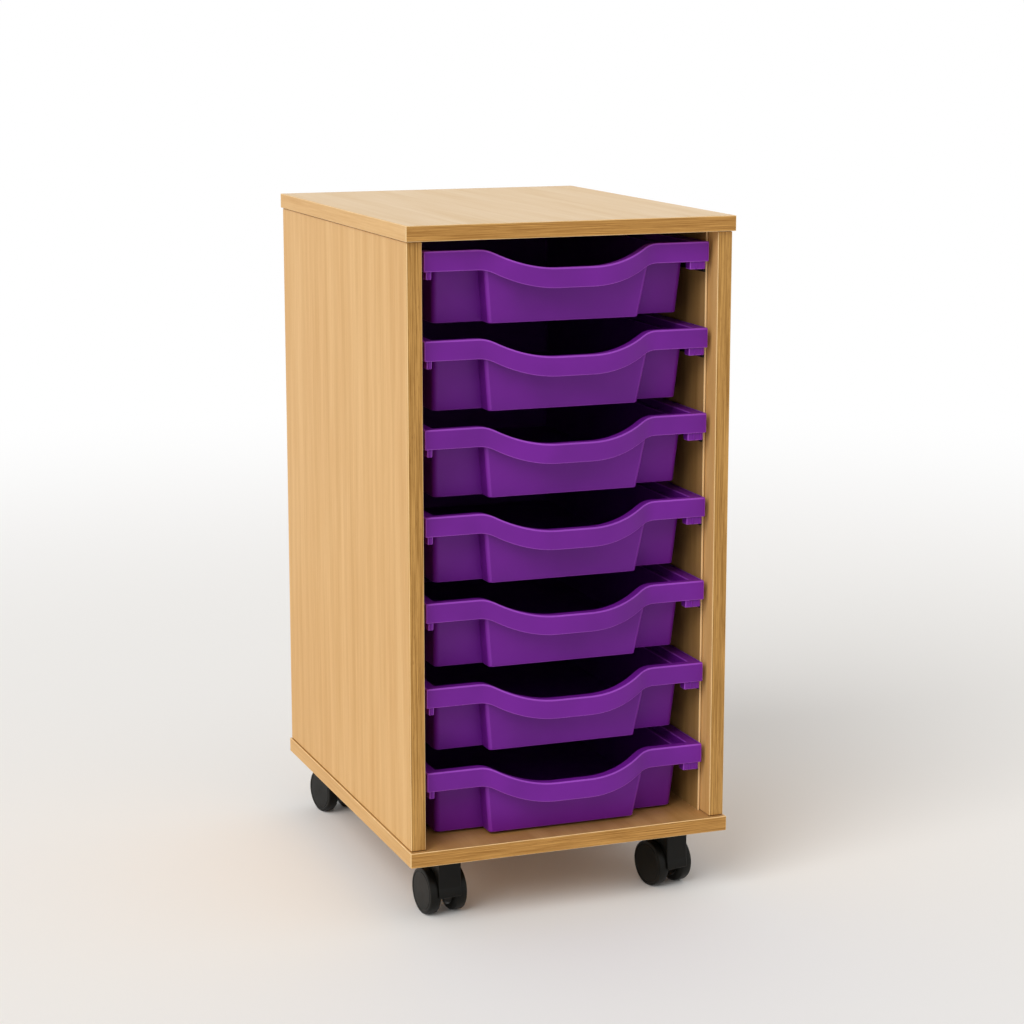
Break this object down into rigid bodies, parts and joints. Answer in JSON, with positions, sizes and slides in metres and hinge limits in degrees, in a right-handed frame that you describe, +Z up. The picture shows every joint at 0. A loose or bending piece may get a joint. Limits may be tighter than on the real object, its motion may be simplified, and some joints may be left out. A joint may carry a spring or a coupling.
{
  "type": "tray storage unit",
  "caption": "Beech-effect cabinet on twin-wheel swivel castors, with moulded trays that slide out on side runners, each with a waved pull lip.",
  "frame": {"origin": "on the floor, at the middle of the footprint", "axes": "+Z up; the open front faces -Y; +X to the right of someone facing the front"},
  "size_m": [0.359, 0.46, 0.731],
  "materials": {
    "board": "satin beech-effect foil",
    "edging": "satin beech edging strip",
    "liner": "satin",
    "back_board": "satin",
    "biscuit": "raw beech",
    "runner": "moulded",
    "tray": "moulded, soft sheen",
    "castor": "moulded",
    "steel": "zinc plated"
  },
  "bodies": {
    "carcass": {"top_panel": "board", "base_panel": "board", "back_panel": "back_board", "biscuits": "biscuit", "top_edging": "edging", "base_edging": "edging", "side_panel_left": "board", "side_panel_right": "board", "side_edging_left": "edging", "side_edging_right": "edging", "side_liner_left": "liner", "side_liner_right": "liner", "runner_left_1": "runner", "runner_left_2": "runner", "runner_left_3": "runner", "runner_left_4": "runner", "runner_left_5": "runner", "runner_left_6": "runner", "runner_left_7": "runner", "runner_right_1": "runner", "runner_right_2": "runner", "runner_right_3": "runner", "runner_right_4": "runner", "runner_right_5": "runner", "runner_right_6": "runner", "runner_right_7": "runner", "castor_front_left_plate": "steel", "castor_front_right_plate": "steel", "castor_back_left_plate": "steel", "castor_back_right_plate": "steel", "castor_pins": "steel"},
    "tray_1": {"tray_1": "tray"},
    "tray_2": {"tray_2": "tray"},
    "tray_3": {"tray_3": "tray"},
    "tray_4": {"tray_4": "tray"},
    "tray_5": {"tray_5": "tray"},
    "tray_6": {"tray_6": "tray"},
    "tray_7": {"tray_7": "tray"},
    "front_left_swivel": {"castor_front_left_hood": "castor"},
    "front_left_wheel_left": {"castor_front_left_wheel_left": "castor"},
    "front_left_wheel_right": {"castor_front_left_wheel_right": "castor"},
    "front_right_swivel": {"castor_front_right_hood": "castor"},
    "front_right_wheel_left": {"castor_front_right_wheel_left": "castor"},
    "front_right_wheel_right": {"castor_front_right_wheel_right": "castor"},
    "back_left_swivel": {"castor_back_left_hood": "castor"},
    "back_left_wheel_left": {"castor_back_left_wheel_left": "castor"},
    "back_left_wheel_right": {"castor_back_left_wheel_right": "castor"},
    "back_right_swivel": {"castor_back_right_hood": "castor"},
    "back_right_wheel_left": {"castor_back_right_wheel_left": "castor"},
    "back_right_wheel_right": {"castor_back_right_wheel_right": "castor"}
  },
  "joints": [
    {"name": "tray_1_slide", "type": "slide", "parent": "carcass", "child": "tray_1", "axis": [0, -1, 0], "range_m": [0, 0.4]},
    {"name": "tray_2_slide", "type": "slide", "parent": "carcass", "child": "tray_2", "axis": [0, -1, 0], "range_m": [0, 0.4]},
    {"name": "tray_3_slide", "type": "slide", "parent": "carcass", "child": "tray_3", "axis": [0, -1, 0], "range_m": [0, 0.4]},
    {"name": "tray_4_slide", "type": "slide", "parent": "carcass", "child": "tray_4", "axis": [0, -1, 0], "range_m": [0, 0.4]},
    {"name": "tray_5_slide", "type": "slide", "parent": "carcass", "child": "tray_5", "axis": [0, -1, 0], "range_m": [0, 0.4]},
    {"name": "tray_6_slide", "type": "slide", "parent": "carcass", "child": "tray_6", "axis": [0, -1, 0], "range_m": [0, 0.4]},
    {"name": "tray_7_slide", "type": "slide", "parent": "carcass", "child": "tray_7", "axis": [0, -1, 0], "range_m": [0, 0.4]},
    {"name": "front_left_swivel", "type": "hinge", "parent": "carcass", "child": "front_left_swivel", "pos_m": [-0.13, -0.19, 0.05], "axis": [0, 0, 1], "continuous": true},
    {"name": "front_left_wheel_left_spin", "type": "hinge", "parent": "front_left_swivel", "child": "front_left_wheel_left", "pos_m": [-0.13146, -0.17608, 0.025], "axis": [0.9945, 0.1045, 0], "continuous": true},
    {"name": "front_left_wheel_right_spin", "type": "hinge", "parent": "front_left_swivel", "child": "front_left_wheel_right", "pos_m": [-0.13146, -0.17608, 0.025], "axis": [0.9945, 0.1045, 0], "continuous": true},
    {"name": "front_right_swivel", "type": "hinge", "parent": "carcass", "child": "front_right_swivel", "pos_m": [0.13, -0.19, 0.05], "axis": [0, 0, 1], "continuous": true},
    {"name": "front_right_wheel_left_spin", "type": "hinge", "parent": "front_right_swivel", "child": "front_right_wheel_left", "pos_m": [0.12709, -0.17631, 0.025], "axis": [0.9781, 0.2079, 0], "continuous": true},
    {"name": "front_right_wheel_right_spin", "type": "hinge", "parent": "front_right_swivel", "child": "front_right_wheel_right", "pos_m": [0.12709, -0.17631, 0.025], "axis": [0.9781, 0.2079, 0], "continuous": true},
    {"name": "back_left_swivel", "type": "hinge", "parent": "carcass", "child": "back_left_swivel", "pos_m": [-0.13, 0.187, 0.05], "axis": [0, 0, 1], "continuous": true},
    {"name": "back_left_wheel_left_spin", "type": "hinge", "parent": "back_left_swivel", "child": "back_left_wheel_left", "pos_m": [-0.13291, 0.20069, 0.025], "axis": [0.9781, 0.2079, 0], "continuous": true},
    {"name": "back_left_wheel_right_spin", "type": "hinge", "parent": "back_left_swivel", "child": "back_left_wheel_right", "pos_m": [-0.13291, 0.20069, 0.025], "axis": [0.9781, 0.2079, 0], "continuous": true},
    {"name": "back_right_swivel", "type": "hinge", "parent": "carcass", "child": "back_right_swivel", "pos_m": [0.13, 0.187, 0.05], "axis": [0, 0, 1], "continuous": true},
    {"name": "back_right_wheel_left_spin", "type": "hinge", "parent": "back_right_swivel", "child": "back_right_wheel_left", "pos_m": [0.12781, 0.20083, 0.025], "axis": [0.9877, 0.1564, 0], "continuous": true},
    {"name": "back_right_wheel_right_spin", "type": "hinge", "parent": "back_right_swivel", "child": "back_right_wheel_right", "pos_m": [0.12781, 0.20083, 0.025], "axis": [0.9877, 0.1564, 0], "continuous": true}
  ]
}
